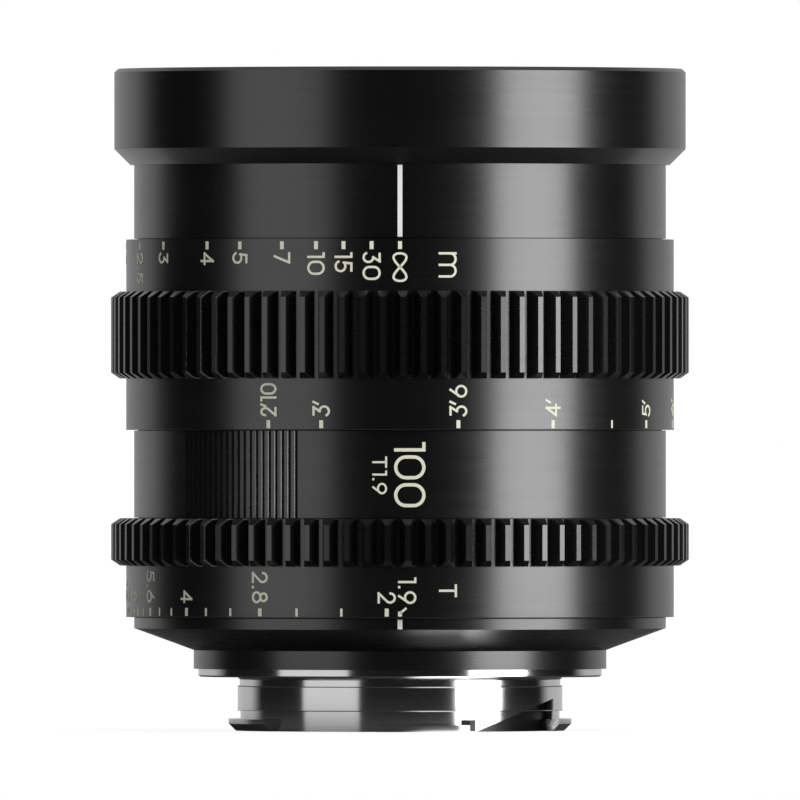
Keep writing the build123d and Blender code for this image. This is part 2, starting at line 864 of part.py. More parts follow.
def iris_base_plate():
    """The plate that sets full aperture and carries the blade pivots."""
    top = stop_level + base_plate_thickness
    plate = tube(stop_open_radius, iris_bore - seat_fit, stop_level, top)
    hole = Cylinder(
        pivot_pin_radius + seat_fit, pivot_hole_depth, align=(Align.CENTER, Align.CENTER, Align.MAX)
    )
    for angle in around(blade_count):
        plate -= Pos(*polar(pivot_radius, angle), top) * hole
    return plate


def iris_cover():
    """The cover over the cam ring, whose spigot centres the ring."""
    return turned(
        (cover_window_radius, cover_level - cover_spigot),
        (cover_spigot_radius, cover_level - cover_spigot),
        (cover_spigot_radius, cover_level),
        (cell_radius, cover_level),
        (cell_radius, cover_level + cover_thickness),
        (cover_window_radius, cover_level + cover_thickness),
    )


def surface(bend, edge, clear, radius):
    """The level of a glass surface at a radius, when it meets its rim at level edge."""
    return edge + sag(bend, clear) - sag(bend, radius)


def glass(rim, low, high, bends, front_clear=None, rear_clear=None):
    """A lens element: a cylindrical rim between a front and a rear spherical surface."""
    front_clear = front_clear or rim
    rear_clear = rear_clear or rim
    front, rear = bends
    top = (0, surface(front, high, front_clear, 0))
    bottom = (0, surface(rear, low, rear_clear, 0))
    front_middle = (front_clear / 2, surface(front, high, front_clear, front_clear / 2))
    rear_middle = (rear_clear / 2, surface(rear, low, rear_clear, rear_clear / 2))
    edges = [ThreePointArc(top, front_middle, (front_clear, high))]
    if front_clear < rim:
        edges.append(Line((front_clear, high), (rim, high)))
    edges.append(Line((rim, high), (rim, low)))
    if rear_clear < rim:
        edges.append(Line((rim, low), (rear_clear, low)))
    edges.append(ThreePointArc((rear_clear, low), rear_middle, bottom))
    edges.append(Line(bottom, top))
    return revolve(Plane.XZ * make_face(edges), Axis.Z)


def front_cell():
    """The cell of the two front elements, whose rim slides in the guide barrel."""
    second_bore = second_glass_radius + seat_fit
    front_bore = front_glass_radius + seat_fit
    return turned(
        (cell_lip_radius, front_cell_level),
        (cell_radius, front_cell_level),
        (cell_radius, front_flange_level),
        (land_radius, front_flange_level),
        (land_radius, front_cell_top),
        (front_bore, front_cell_top),
        (front_bore, front_glass_level),
        (second_bore, front_glass_level),
        (second_bore, second_glass_level),
        (cell_lip_radius, second_glass_level),
    )


def front_glass():
    """The front element, a thick meniscus."""
    high = front_glass_level + front_glass_rim
    return glass(front_glass_radius, front_glass_level, high, front_bends)


def second_glass():
    """The second element, a steep positive meniscus."""
    high = second_glass_level + second_glass_rim
    return glass(second_glass_radius, second_glass_level, high, second_bends)


def third_glass():
    """The third element, a negative meniscus hollowed towards the stop."""
    high = third_glass_level + third_glass_rim
    return glass(
        third_glass_radius, third_glass_level, high, third_bends, rear_clear=third_glass_hollow
    )


def cemented_level():
    """The rim level of the surface that the fourth and fifth elements share."""
    return fifth_glass_level + doublet_rear_rim


def fourth_glass():
    """The fourth element, hollow towards the stop and cemented to the fifth."""
    low = cemented_level()
    high = low + doublet_front_rim
    return glass(doublet_radius, low, high, fourth_bends, front_clear=doublet_hollow)


def fifth_glass():
    """The fifth element, the positive half of the cemented pair."""
    return glass(doublet_radius, fifth_glass_level, cemented_level(), fifth_bends)


def sixth_glass():
    """The sixth element, biconvex."""
    high = sixth_glass_level + sixth_glass_rim
    return glass(rear_glass_radius, sixth_glass_level, high, sixth_bends)


def seventh_glass():
    """The rear element, biconcave."""
    high = seventh_glass_level + seventh_glass_rim
    return glass(rear_glass_radius, seventh_glass_level, high, seventh_bends)


def ring_on(bend, edge, clear, outer, width, height):
    """A retaining ring whose inner edge rests on a glass surface below it."""
    inner = outer - width
    low = surface(bend, edge, clear, inner) + seat_fit
    return tube(inner, outer, low, low + height)


def front_lens_retainer():
    """The threaded ring that holds the front element."""
    edge = front_glass_level + front_glass_rim
    outer = front_glass_radius
    size = (outer, retainer_width, front_retainer_height)
    return ring_on(front_bends[0], edge, outer, *size)


def front_trim_ring():
    """The flared ring round the front element, above its retainer."""
    outer = front_glass_radius
    inner = outer - retainer_width
    edge = front_glass_level + front_glass_rim
    low = surface(front_bends[0], edge, outer, inner) + front_retainer_height + 2 * seat_fit
    high = low + trim_height
    return turned((inner, low), (outer, low), (outer, high), (inner + trim_slope, high))


def second_lens_retainer():
    """The threaded ring that holds the second element."""
    edge = second_glass_level + second_glass_rim
    outer = second_glass_radius
    return ring_on(second_bends[0], edge, outer, outer, retainer_width, retainer_height)


def middle_cell():
    """The cell of the third element, clamped between the iris cover and the front cell."""
    bore = third_glass_radius + seat_fit
    return turned(
        (cover_window_radius, middle_cell_level),
        (cell_radius, middle_cell_level),
        (cell_radius, middle_cell_level + middle_cell_height),
        (bore, middle_cell_level + middle_cell_height),
        (bore, third_glass_level),
        (cover_window_radius, third_glass_level),
    )


def doublet_cell():
    """The cell of the cemented pair behind the stop, whose lip follows the rear surface."""
    bore = doublet_radius + seat_fit
    high = cemented_level() + doublet_front_rim + retainer_height / 2
    lip = surface(fifth_bends[1], fifth_glass_level, doublet_radius, doublet_lip_radius)
    return turned(
        (doublet_lip_radius, block_floor_level),
        (block_bore - seat_fit, block_floor_level),
        (block_bore - seat_fit, high),
        (bore, high),
        (bore, lip - seat_fit),
        (doublet_lip_radius, lip - seat_fit),
    )


def doublet_retainer():
    """The flat ring on the front rim of the cemented pair."""
    low = cemented_level() + doublet_front_rim
    inner = doublet_hollow + seat_fit
    return tube(inner, doublet_radius, low, low + retainer_height / 2)


def rear_cell():
    """The cell of the two rear elements, which reaches down into the mount."""
    bore = rear_glass_radius + seat_fit
    return turned(
        (rear_lip_radius, rear_cell_low),
        (rear_cell_radius, rear_cell_low),
        (rear_cell_radius, rear_cell_seat - rear_cell_flange_height),
        (rear_cell_flange_radius, rear_cell_seat - rear_cell_flange_height),
        (rear_cell_flange_radius, rear_cell_seat),
        (rear_cell_bore - seat_fit, rear_cell_seat),
        (rear_cell_bore - seat_fit, rear_cell_high),
        (bore, rear_cell_high),
        (bore, seventh_glass_level),
        (rear_lip_radius, seventh_glass_level),
    )


def rear_spacer():
    """The ring that keeps the two rear elements apart."""
    low = seventh_glass_level + seventh_glass_rim
    high = surface(sixth_bends[1], sixth_glass_level, rear_glass_radius, rear_lip_radius)
    return tube(rear_lip_radius, rear_glass_radius, low, high - seat_fit)


def rear_lens_retainer():
    """The threaded ring that holds the two rear elements."""
    edge = sixth_glass_level + sixth_glass_rim
    outer = rear_glass_radius
    return ring_on(sixth_bends[0], edge, outer, outer, retainer_width, retainer_height)


def save(name, shape):
    """Write one node, a single solid or a group of separate ones."""
    solids = shape if isinstance(shape, list) else [shape]
    flat = [solid for item in solids for solid in item.solids()]
    export_step(flat[0] if len(flat) == 1 else Compound(children=flat), f"parts/{name}.step")


def main():
    """Build every piece and write its file."""
    os.makedirs("parts", exist_ok=True)
    pieces = {
        "front_ring": front_ring,
        "front_barrel": front_barrel,
        "centre_barrel": centre_barrel,
        "rear_barrel": rear_barrel,
        "guide_barrel": guide_barrel,
        "barrel_screws": barrel_screws,
        "mount_adapter_ring": mount_adapter_ring,
        "bayonet_mount": bayonet_mount,
        "mount_screws": mount_screws,
        "focus_ring": focus_ring,
        "cam_sleeve": cam_sleeve,
        "focus_drive_pins": focus_drive_pins,
        "aperture_ring": aperture_ring,
        "aperture_key": aperture_key,
        "aperture_drive_rail": aperture_drive_rail,
        "focusing_barrel": focusing_barrel,
        "cam_followers": cam_followers,
        "front_cell": front_cell,
        "middle_cell": middle_cell,
        "doublet_cell": doublet_cell,
        "rear_cell": rear_cell,
        "front_lens_retainer": front_lens_retainer,
        "front_trim_ring": front_trim_ring,
        "second_lens_retainer": second_lens_retainer,
        "doublet_retainer": doublet_retainer,
        "rear_spacer": rear_spacer,
        "rear_lens_retainer": rear_lens_retainer,
        "lens_1_front": front_glass,
        "lens_2": second_glass,
        "lens_3": third_glass,
        "lens_4": fourth_glass,
        "lens_5": fifth_glass,
        "lens_6": sixth_glass,
        "lens_7_rear": seventh_glass,
        "iris_base_plate": iris_base_plate,
        "iris_cover": iris_cover,
        "iris_cam_ring": iris_cam_ring,
    }
    for name, build in pieces.items():
        save(name, build())
    save("focus_washers", washers(focus_level, front_barrel_level))
    save("aperture_washers", washers(aperture_level, centre_level))
    for index in range(blade_count):
        save(f"iris_blade_{index + 1}", iris_blade(index))
    print("blade turn", blade_turn, "for an aperture turn of", aperture_turn)
    print("rail starts at", rail_start, "and the top is at", top_level)


main()
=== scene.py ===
"""Looks of a cinema prime lens: engraved scales, index lines, filter thread, finishes and the studio.

Lengths in the named values and properties are real sizes in metres unless a name says otherwise.
The optical axis is +Z, and angles round it are counted from the index side (-Y) towards +X.
"""

import json

import bpy
import numpy as np
from bpy.props import FloatProperty, FloatVectorProperty, PointerProperty
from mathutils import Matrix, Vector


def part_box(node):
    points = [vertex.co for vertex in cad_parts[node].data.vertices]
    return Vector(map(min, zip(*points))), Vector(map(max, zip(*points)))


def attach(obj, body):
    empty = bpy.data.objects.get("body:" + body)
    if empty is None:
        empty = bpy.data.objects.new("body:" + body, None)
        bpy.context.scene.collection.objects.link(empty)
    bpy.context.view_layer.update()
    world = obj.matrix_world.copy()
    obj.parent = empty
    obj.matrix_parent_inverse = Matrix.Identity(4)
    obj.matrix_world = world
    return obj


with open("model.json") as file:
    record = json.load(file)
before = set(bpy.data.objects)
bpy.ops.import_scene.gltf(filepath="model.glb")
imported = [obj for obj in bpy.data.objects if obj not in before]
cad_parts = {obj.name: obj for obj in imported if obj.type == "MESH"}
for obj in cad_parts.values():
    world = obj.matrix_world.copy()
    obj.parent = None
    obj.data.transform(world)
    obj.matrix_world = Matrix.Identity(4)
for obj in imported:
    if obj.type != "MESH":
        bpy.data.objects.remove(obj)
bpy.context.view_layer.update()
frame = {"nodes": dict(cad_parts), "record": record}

bl_info = {
    "name": "Cinema Prime Lens Finish",
    "version": (1, 0, 0),
    "blender": (4, 5, 0),
    "location": "3D View > Sidebar > Lens",
    "description": "Scales, thread, surface finishes and studio for a cinema prime lens",
    "category": "Object",
}

MM = 0.001

# Scales: angles in degrees, distances in metres or feet
FOCUS_LAW = 177.0
FOCUS_OFFSET = 0.02
FOOT = 0.3048
FEET_INDEX_ANGLE = 181.3
METRE_MARKS = (30, 15, 10, 7, 5, 4, 3, 2.5, 2, 1.5, 1.2, 1, 0.9, 0.86)
FOOT_MARKS = (
    (100, "100'"), (50, "50'"), (30, "30'"), (20, "20'"), (15, "15'"), (12, "12'"), (10, "10'"),
    (8, "8'"), (7, "7'"), (6, "6'"), (5, "5'"), (4.5, ""), (4, "4'"), (3.5, "3'6"), (3, "3'"),
    (2.8333, "2'10"),
)
STOP_LAW = 100.0
STOP_OFFSET = 1.965
STOP_TURN = 86.0
STOP_MARKS = ((2, "2"), (2.83, "2.8"), (4, "4"), (5.66, "5.6"), (8, "8"), (11.3, "11"), (16, "16"))
STOP_MINORS = (2.24, 2.52, 3.17, 3.56, 4.49, 5.04, 6.35, 7.13, 8.98, 10.1)

# Places of the lettering: distances from the edge of its band, angles in degrees
TICK_LENGTH = 1.0 * MM
METRE_TICKS, METRE_TEXT, METRE_ROOM = 1.34 * MM, 1.72 * MM, 4.3 * MM
FOOT_TICKS, FOOT_TEXT, FOOT_ROOM = 0.22 * MM, 1.70 * MM, 4.1 * MM
STOP_TICKS, STOP_TEXT = 0.22 * MM, 1.84 * MM
UNIT_ANGLE = 9.94
STOP_UNIT_ANGLE, STOP_UNIT_RISE = 10.0, 0.80 * MM
FULL_STOP_ANGLE, FULL_STOP_DROP, SECOND_STOP_SHIFT = 1.5, 0.06 * MM, 1.0
FOCAL_ANGLE, FOCAL_DROP, FOCAL_STROKE, FOCAL_GAP = 2.1, 1.41 * MM, 0.42 * MM, 0.25
SPEED_ANGLE, SPEED_DROP, SPEED_STROKE, SPEED_STRETCH = -4.35, 3.21 * MM, 0.25 * MM, 1.12
INDEX_WIDTH = 0.6 * MM

# Sizes of the bayonet and the filter thread, and the depth of the lathe lines
RECESS_INNER, RECESS_OUTER = 18.7 * MM, 19.9 * MM
NECK_RADIUS, NECK_STEPS = 20.45 * MM, (2.6 * MM, 5.6 * MM)
STOP_FACE_RADIUS, STOP_FACE_WIDTH, STOP_FACE_ANGLE = 21.6 * MM, 0.7 * MM, 25.0
STOP_FACE_LOW, STOP_FACE_HIGH = 0.06 * MM, 1.5 * MM
FILTER_RADIUS, FILTER_LENGTH, FILTER_INSET = 33.5 * MM, 4.0 * MM, 0.35 * MM
BAND_STEP = 1.0 * MM
LATHE_DEPTH = 0.02 * MM

# The studio: the table, the painted pool of light that mirrors see on it (a glow on the table, not a
# lamp), and the surrounding light
TABLE_RADIUS, TABLE_DROP, TABLE_GREY, TABLE_GLOW = 0.12, 0.02 * MM, 0.2, 0.91
POOL_CENTRE = (8 * MM, -21 * MM, 0)
POOL_CORE, POOL_EDGE, POOL_LEVEL = 4 * MM, 9 * MM, 2.8
MIRRORED_WHITE, MIRRORED_DARK = 0.6, 0.01
BEHIND_FROM, BEHIND_TO = 0.44, 0.72
ABOVE_FROM, ABOVE_TO = 0.45, 0.95
LEFT_DARK, LEFT_LIT = -0.75, 0.25
RIGHT_LIT, RIGHT_SHARE = 0.2, 0.3
LAMP_TALL, LAMP_LEVEL = 0.5, 0.05
KEY_ANGLE, KEY_WIDTH = 58.4, 0.72
FILL_ANGLE, FILL_WIDTH = -51.0, 0.88


class LensMarkings(bpy.types.PropertyGroup):
    """Sizes of the filled engraving."""

    stroke: FloatProperty(
        name="Stroke", description="Width of the figures' strokes", default=0.29 * MM, unit="LENGTH")
    tick: FloatProperty(
        name="Tick", description="Width of the main ticks", default=0.50 * MM, unit="LENGTH")
    minor_tick: FloatProperty(
        name="Minor tick", description="Width of the small ticks", default=0.30 * MM, unit="LENGTH")
    relief: FloatProperty(
        name="Relief", description="How far the paint stands proud", default=0.03 * MM, unit="LENGTH")
    figure: FloatProperty(
        name="Figure height", description="Height of the scale figures", default=2.3 * MM, unit="LENGTH")
    focal_figure: FloatProperty(
        name="Focal figure height", description="Height of the large figures", default=3.94 * MM,
        unit="LENGTH")
    stop_figure: FloatProperty(
        name="Stop figure height", description="Height of the small figures", default=1.86 * MM,
        unit="LENGTH")
    cream: FloatVectorProperty(
        name="Cream paint", description="Colour of the figures", default=(0.87, 0.87, 0.67),
        subtype="COLOR", size=3)
    white: FloatVectorProperty(
        name="White paint", description="Colour of the index lines", default=(0.95, 0.95, 0.93),
        subtype="COLOR", size=3)


class LensFinish(bpy.types.PropertyGroup):
    """Colours and gloss of the metal and glass."""

    anodised: FloatVectorProperty(
        name="Anodised", description="Colour of the outer barrels", default=(0.0026, 0.0026, 0.0028),
        subtype="COLOR", size=3)
    anodised_roughness: FloatProperty(
        name="Anodised roughness", description="Gloss of the outer barrels", default=0.28,
        subtype="FACTOR")
    chrome: FloatVectorProperty(
        name="Chrome", description="Colour of the bayonet", default=(0.66, 0.66, 0.66),
        subtype="COLOR", size=3)
    chrome_roughness: FloatProperty(
        name="Chrome roughness", description="Gloss of the bayonet", default=0.13, subtype="FACTOR")
    brass: FloatVectorProperty(
        name="Brass", description="Colour of the bearing parts", default=(0.72, 0.52, 0.24),
        subtype="COLOR", size=3)
    edge_bead: FloatProperty(
        name="Edge bead", description="Radius of the rounded fine edges", default=0.07 * MM,
        unit="LENGTH")
    thread_pitch: FloatProperty(
        name="Filter thread pitch", description="Rise of the filter thread in a turn",
        default=0.75 * MM, unit="LENGTH")
    thread_depth: FloatProperty(
        name="Filter thread depth", description="Depth of the thread's groove",
        default=0.42 * MM, unit="LENGTH")


class LensStudio(bpy.types.PropertyGroup):
    """The lamps and the camera."""

    key_power: FloatProperty(
        name="Key power", description="Strength of the right softbox", default=6.2, unit="POWER")
    fill_power: FloatProperty(
        name="Fill power", description="Strength of the left softbox", default=1.3, unit="POWER")
    lamp_distance: FloatProperty(
        name="Lamp distance", description="How far the softboxes stand off", default=1.1,
        unit="LENGTH")
    ambient: FloatProperty(
        name="Ambient", description="Level of the light from all round", default=1.14)
    camera_distance: FloatProperty(
        name="Camera distance", description="From the axis to the camera", default=4.38,
        unit="LENGTH")
    camera_height: FloatProperty(
        name="Camera height", description="Height of the view's centre", default=41.643 * MM,
        unit="LENGTH")
    picture_width: FloatProperty(
        name="Picture width", description="Width of the view at the axis", default=100.8 * MM,
        unit="LENGTH")


def straight(x1, y1, x2, y2):
    """A straight stroke between two points."""
    share = np.linspace(0, 1, 6)[:, None]
    return np.array([[x1, y1]]) * (1 - share) + np.array([[x2, y2]]) * share


def curved(x, y, radius_x, radius_y, start, end):
    """A stroke on an ellipse: centre plus the radii times cosine and sine of the angle."""
    angle = np.radians(np.linspace(start, end, 24))
    return np.column_stack([x + radius_x * np.cos(angle), y + radius_y * np.sin(angle)])


def racetrack(x, y, half_width, half_height):
    """A closed loop of two half circles joined by straight sides."""
    angle = np.radians(np.linspace(0, 360, 49))
    shift = (half_height - half_width) * np.sign(np.round(np.sin(angle), 6))
    return np.column_stack([x + half_width * np.cos(angle), y + shift + half_width * np.sin(angle)])


def lemniscate(x, y, half_width, half_height):
    """A lying figure of eight: x follows cosine t and y follows sine 2t."""
    angle = np.radians(np.linspace(0, 360, 61))
    return np.column_stack([x + half_width * np.cos(angle), y + half_height * np.sin(2 * angle)])


# Every figure is drawn in a cell one cap height high: its width, then its strokes
FIGURES = {
    "0": (0.74, lambda: [racetrack(0.37, 0.5, 0.37, 0.5)]),
    "1": (0.22, lambda: [straight(0.22, 0, 0.22, 1), straight(0.0, 1, 0.22, 1)]),
    "2": (0.56, lambda: [
        curved(0.28, 0.71, 0.28, 0.29, 175, -38), straight(0.50, 0.53, 0.0, 0),
        straight(0, 0, 0.56, 0)]),
    "3": (0.54, lambda: [
        straight(0.04, 1, 0.50, 1), straight(0.50, 1, 0.25, 0.60),
        curved(0.25, 0.30, 0.29, 0.30, 90, -150)]),
    "4": (0.64, lambda: [
        straight(0.46, 0, 0.46, 1), straight(0.46, 1, 0, 0.28), straight(0, 0.28, 0.64, 0.28)]),
    "5": (0.58, lambda: [
        straight(0.10, 1, 0.54, 1), straight(0.10, 1, 0.05, 0.56),
        curved(0.27, 0.31, 0.31, 0.31, 135, -155)]),
    "6": (0.66, lambda: [curved(0.33, 0.32, 0.33, 0.32, 0, 360), straight(0.05, 0.46, 0.42, 1)]),
    "7": (0.56, lambda: [straight(0, 1, 0.56, 1), straight(0.56, 1, 0.18, 0)]),
    "8": (0.62, lambda: [
        curved(0.31, 0.77, 0.24, 0.23, 0, 360), curved(0.31, 0.27, 0.31, 0.27, 0, 360)]),
    "9": (0.66, lambda: [curved(0.33, 0.68, 0.33, 0.32, 0, 360), straight(0.61, 0.54, 0.24, 0)]),
    ".": (0.02, lambda: [straight(0, 0.0, 0.02, 0.0)]),
    "'": (0.0, lambda: [straight(-0.15, 0.72, -0.02, 1.0)]),
    "T": (0.66, lambda: [straight(0, 1, 0.66, 1), straight(0.33, 1, 0.33, 0)]),
    "m": (1.44, lambda: [
        straight(0, 0, 0, 1), curved(0.36, 0.66, 0.36, 0.34, 180, 0), straight(0.72, 0.66, 0.72, 0),
        curved(1.08, 0.66, 0.36, 0.34, 180, 0), straight(1.44, 0.66, 1.44, 0)]),
    "f": (0.40, lambda: [
        straight(0.16, 0, 0.16, 0.76), curved(0.38, 0.76, 0.22, 0.24, 180, 90),
        straight(0, 0.62, 0.38, 0.62)]),
    "t": (0.40, lambda: [
        straight(0.16, 0.2, 0.16, 1), curved(0.36, 0.2, 0.20, 0.2, 180, 270),
        straight(0, 0.68, 0.38, 0.68)]),
    "∞": (1.72, lambda: [lemniscate(0.86, 0.5, 0.86, 0.40)]),
}
LETTER_GAP = 0.31


def written(text, height, stroke, gap, stretch):
    """The strokes of a text from its left end, and its width: cell places add up along the line."""
    rise = height - stroke
    strokes = []
    x = 0
    for letter in text:
        width, draw = FIGURES[letter]
        strokes += [(path + [x, 0]) * [rise * stretch, rise] for path in draw()]
        x += width + gap
    return strokes, (x - gap) * rise * stretch


def band_solid(path, width, low, high):
    """A closed bar carried along a flat path: its corners lie half the width to each side."""
    closed = len(path) > 3 and np.allclose(path[0], path[-1])
    if closed:
        path = path[:-1]
        along = np.roll(path, -1, axis=0) - np.roll(path, 1, axis=0)
    else:
        along = np.gradient(path, axis=0)
    along /= np.linalg.norm(along, axis=1)[:, None]
    if not closed:
        path = path.copy()
        path[0] -= along[0] * width / 2
        path[-1] += along[-1] * width / 2
    side = np.column_stack([-along[:, 1], along[:, 0]]) * width / 2
    flat = np.stack([path + side, path + side, path - side, path - side], axis=1)
    heights = np.broadcast_to([low, high, high, low], flat.shape[:2])
    points = np.concatenate([flat, heights[:, :, None]], axis=2).reshape(-1, 3)
    here = np.arange(len(path) if closed else len(path) - 1)[:, None]
    ahead = (here + 1) % len(path)
    corner = np.arange(4)[None, :]
    following = (corner + 1) % 4
    faces = np.stack(
        [here * 4 + corner, here * 4 + following, ahead * 4 + following, ahead * 4 + corner], axis=2
    ).reshape(-1, 4)
    if not closed:
        last = 4 * (len(path) - 1)
        faces = np.vstack([faces, [[3, 2, 1, 0]], [[last, last + 1, last + 2, last + 3]]])
    return points, faces


def on_cylinder(points, radius, angle, level, way):
    """Wrap a drawing on a barrel: its x runs down (-1) or up (+1) the axis, its y round the axis."""
    x, y, rise = points.T
    turn = np.radians(angle - 90) - way * y / radius
    out = radius + rise
    return np.column_stack([out * np.cos(turn), out * np.sin(turn), level + way * x])


def joined(solids):
    """One list of points and faces from many, each solid's face numbers moved past the last."""
    points = [solid[0] for solid in solids]
    starts = np.cumsum([0] + [len(p) for p in points[:-1]])
    faces = [solid[1] + start for solid, start in zip(solids, starts)]
    return np.vstack(points), np.vstack(faces)


def add_piece(name, points, faces, material, body, slot, sharp=30.0):
    """Put points and faces into a mesh object that rides on a body and takes the given material; the
    slot argument is not used.
    """
    mesh = bpy.data.meshes.new(name)
    mesh.from_pydata(points.tolist(), [], faces.tolist())
    mesh.polygons.foreach_set("use_smooth", np.ones(len(mesh.polygons), dtype=bool))
    mesh.set_sharp_from_angle(angle=np.radians(sharp))
    mesh.materials.append(material)
    mesh.update()
    piece = bpy.data.objects.new(name, mesh)
    bpy.context.scene.collection.objects.link(piece)
    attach(piece, body)
    return piece


def figures(
    text, height, stroke, radius, angle, level, way, ends=False, gap=LETTER_GAP, stretch=1.0, room=1.0
):
    """A text on a barrel, centred on an angle; it starts at the level, or ends there.

    Where it is longer than its room, it is drawn narrower by the room over its length.
    """
    relief = bpy.context.scene.lens_markings.relief
    length = written(text, height, stroke, gap, stretch)[1] + stroke
    strokes, width = written(text, height, stroke, gap, stretch * min(1, room / length))
    start = level - way * (width + stroke / 2) if ends else level + way * stroke / 2
    solids = []
    for index, path in enumerate(strokes):
        path = path - [0, (height - stroke) / 2]
        points, faces = band_solid(path, stroke, -relief, relief * (1 + 0.04 * (index % 5)))
        solids.append((on_cylinder(points, radius, angle, start, way), faces))
    return solids


def line(radius, width, angle, low, high, slant=0.0):
    """A straight mark along the axis, or leaning by slant degrees round it."""
    relief = bpy.context.scene.lens_markings.relief
    path = straight(width / 2, 0, high - low - width / 2, -np.radians(slant) * radius)
    points, faces = band_solid(path, width, -relief, relief)
    return on_cylinder(points, radius, angle, low, 1), faces


def focus_angle(metres):
    """The focus ring's turn for a distance: a constant over the distance less a small offset."""
    return FOCUS_LAW / (metres - FOCUS_OFFSET)


def stop_angle(stop):
    """The aperture ring's turn for a T-stop: a hundred less a constant over the stop."""
    return min(STOP_LAW * (1 - STOP_OFFSET / stop), STOP_TURN)


def number(value):
    """A number as it is engraved."""
    return f"{value:g}"


def shader_group(name, inputs, outputs):
    """An empty shader node group with number inputs (name, default) and number outputs."""
    group = bpy.data.node_groups.new(name, "ShaderNodeTree")
    for label, default in inputs:
        socket = group.interface.new_socket(label, in_out="INPUT", socket_type="NodeSocketFloat")
        socket.default_value = default
    for label in outputs:
        group.interface.new_socket(label, in_out="OUTPUT", socket_type="NodeSocketFloat")
    return group, group.nodes.new("NodeGroupInput"), group.nodes.new("NodeGroupOutput")


def placed(tree, kind, links=(), **values):
    """Add a node, set its plain properties and sockets, and link sockets into it."""
    node = tree.nodes.new(kind)
    for key, value in values.items():
        if hasattr(node, key):
            setattr(node, key, value)
        else:
            node.inputs[key.replace("_", " ")].default_value = value
    for socket, source in links:
        tree.links.new(source, node.inputs[socket])
    return node


def maths(tree, operation, first, second):
    """The output of a Math node on two terms, each a socket or a plain number."""
    node = placed(tree, "ShaderNodeMath", operation=operation)
    for socket, term in zip(node.inputs, (first, second)):
        if isinstance(term, bpy.types.NodeSocket):
            tree.links.new(term, socket)
        else:
            socket.default_value = term
    return node.outputs[0]


def ramp(tree, source, low, high, begin=0.0, end=1.0, smooth=False):
    """Low where the source is at most begin, high from end on, and a straight or soft way between."""
    node = placed(
        tree, "ShaderNodeMapRange", [(0, source)], From_Min=begin, From_Max=end, To_Min=low,
        To_Max=high, interpolation_type="SMOOTHSTEP" if smooth else "LINEAR")
    return node.outputs[0]


def turned_lines_group():
    """Lathe lines: noise squeezed along the axis, so that it runs round the barrel in fine rings."""
    group, given, result = shader_group(
        "Turned lines", [("Lines per metre", 9000.0), ("Waver", 12.0)], ["Height", "Broad"])
    lines, waver = given.outputs["Lines per metre"], given.outputs["Waver"]
    place = placed(group, "ShaderNodeTexCoord")
    split = placed(group, "ShaderNodeSeparateXYZ", [(0, place.outputs["Object"])])
    across = [maths(group, "MULTIPLY", split.outputs[axis], waver) for axis in (0, 1)]
    for output, share in (("Height", 1.0), ("Broad", 0.12)):
        level = maths(group, "MULTIPLY", split.outputs[2], maths(group, "MULTIPLY", lines, share))
        joint = placed(group, "ShaderNodeCombineXYZ", list(enumerate([*across, level])))
        noise = placed(
            group, "ShaderNodeTexNoise", [("Vector", joint.outputs[0])], Scale=1.0, Detail=2.0,
            Roughness=0.6)
        group.links.new(noise.outputs["Fac"], result.inputs[output])


def handled_group():
    """Handling: large soft blotches and small specks, both between 0 and 1."""
    group, given, result = shader_group(
        "Handled surface", [("Blotches per metre", 60.0), ("Specks per metre", 2600.0)],
        ["Blotch", "Speck"])
    place = placed(group, "ShaderNodeTexCoord")
    blotch = placed(
        group, "ShaderNodeTexNoise",
        [("Vector", place.outputs["Object"]), ("Scale", given.outputs["Blotches per metre"])],
        Detail=3.0, Roughness=0.55)
    speck = placed(
        group, "ShaderNodeTexNoise",
        [("Vector", place.outputs["Object"]), ("Scale", given.outputs["Specks per metre"])],
        Detail=1.0)
    group.links.new(blotch.outputs["Fac"], result.inputs["Blotch"])
    group.links.new(ramp(group, speck.outputs["Fac"], 0.0, 1.0, 0.62, 0.78), result.inputs["Speck"])


def group_node(tree, group, *values):
    """Place a group in a material with its own values."""
    node = tree.nodes.new("ShaderNodeGroup")
    node.node_tree = group
    for socket, value in zip(node.inputs, values):
        socket.default_value = value
    return node


def blended(tree, factor, first, second):
    """Mix two colours by a mask."""
    mix = placed(
        tree, "ShaderNodeMix", [("Factor", factor)], data_type="RGBA", A=(*first, 1), B=(*second, 1))
    return mix.outputs["Result"]


def new_finish(name):
    """A new material's node tree and its shader."""
    material = bpy.data.materials.new(name)
    material.use_nodes = True
    return material.node_tree, material.node_tree.nodes["Principled BSDF"]


def surface_material(name, base, tone, roughness, spread, bump, lines=9000.0, metallic=0.0, ior=1.5):
    """A turned, finished metal: two close tones, a gloss that varies and fine lathe lines."""
    tree, shader = new_finish(name)
    shader.inputs["Metallic"].default_value = metallic
    shader.inputs["IOR"].default_value = ior
    turned = group_node(tree, bpy.data.node_groups["Turned lines"], lines, 12.0)
    handled = group_node(tree, bpy.data.node_groups["Handled surface"], 60.0, 2600.0)
    tree.links.new(blended(tree, handled.outputs["Blotch"], base, tone), shader.inputs["Base Color"])
    gloss = maths(tree, "MULTIPLY", turned.outputs["Broad"], handled.outputs["Blotch"])
    tree.links.new(
        ramp(tree, gloss, roughness - spread, roughness + spread * 2), shader.inputs["Roughness"])
    relief = placed(
        tree, "ShaderNodeBump", [("Height", turned.outputs["Height"])], Strength=bump,
        Distance=LATHE_DEPTH)
    tree.links.new(relief.outputs["Normal"], shader.inputs["Normal"])


